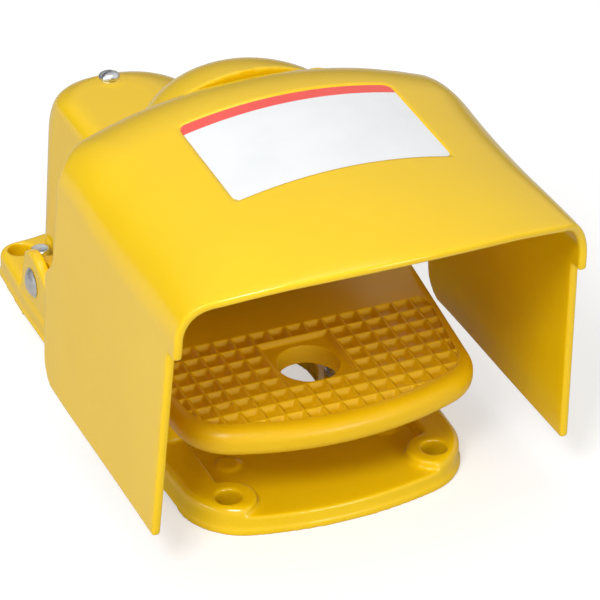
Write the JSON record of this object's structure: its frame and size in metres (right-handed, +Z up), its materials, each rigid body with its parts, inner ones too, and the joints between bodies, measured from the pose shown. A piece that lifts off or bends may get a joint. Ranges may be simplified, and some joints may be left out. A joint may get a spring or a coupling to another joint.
{
  "type": "industrial foot switch",
  "caption": "Heavy-duty foot switch: hinged treaded pedal under a full arched foot shield on a bolt-down base, with a domed switch housing and conduit entry behind.",
  "frame": {"origin": "on the underside of the base, midway between the two front mounting holes", "axes": "+X across the switch to the right, +Y from the toe opening back to the housing, +Z up"},
  "size_m": [0.1652, 0.2817, 0.1472],
  "materials": {
    "enamel_yellow": "thick glossy safety-yellow enamel on cast metal",
    "zinc_plated": "bright zinc-plated steel",
    "spring_steel": "oiled spring steel wire",
    "brass": "turned brass",
    "bronze": "sintered bronze",
    "black_rubber": "matt moulded rubber",
    "label_vinyl": "satin vinyl, blank white field under a plain red band",
    "switch_case": "moulded phenolic",
    "button_red": "moulded plastic"
  },
  "bodies": {
    "frame": {"base_plate": "enamel_yellow", "shield": "enamel_yellow", "label_blank": "label_vinyl", "switch_housing": "enamel_yellow", "housing_gasket": "black_rubber", "housing_screws": "zinc_plated", "shield_screws": "zinc_plated", "earth_screw": "zinc_plated", "earth_nut": "zinc_plated", "conduit_bushing": "zinc_plated", "pivot_pins": "zinc_plated", "pin_clips": "zinc_plated", "return_springs": "spring_steel", "down_stops": "black_rubber", "up_stop": "black_rubber", "plunger_guide": "brass", "plunger_boot": "black_rubber", "micro_switch": "switch_case", "switch_terminals": "brass", "switch_bracket": "zinc_plated", "switch_screws": "zinc_plated", "bracket_screws": "zinc_plated"},
    "pedal": {"pedal": "enamel_yellow", "pivot_bushes": "bronze", "adjusting_screw": "zinc_plated", "lock_nut": "zinc_plated"},
    "plunger": {"plunger": "zinc_plated"},
    "button": {"switch_button": "button_red"}
  },
  "joints": [
    {"name": "pedal_hinge", "type": "hinge", "parent": "frame", "child": "pedal", "pos_m": [0, 0.158, 0.0205], "axis": [1, 0, 0], "range_deg": [0, 3.5], "stiffness_Nm_per_rad": 20, "springref_deg": -11.46, "deforming": ["return_springs"]},
    {"name": "plunger_slide", "type": "slide", "parent": "frame", "child": "plunger", "axis": [0, 0, -1], "range_m": [0, 0.00189], "deforming": ["plunger_boot"]},
    {"name": "button_slide", "type": "slide", "parent": "frame", "child": "button", "axis": [0, 0, -1], "range_m": [0, 0.00189]}
  ],
  "couplings": [
    {"joint": "plunger_slide", "follows": "pedal_hinge", "m_per_rad": 0.031},
    {"joint": "button_slide", "follows": "pedal_hinge", "m_per_rad": 0.031}
  ]
}
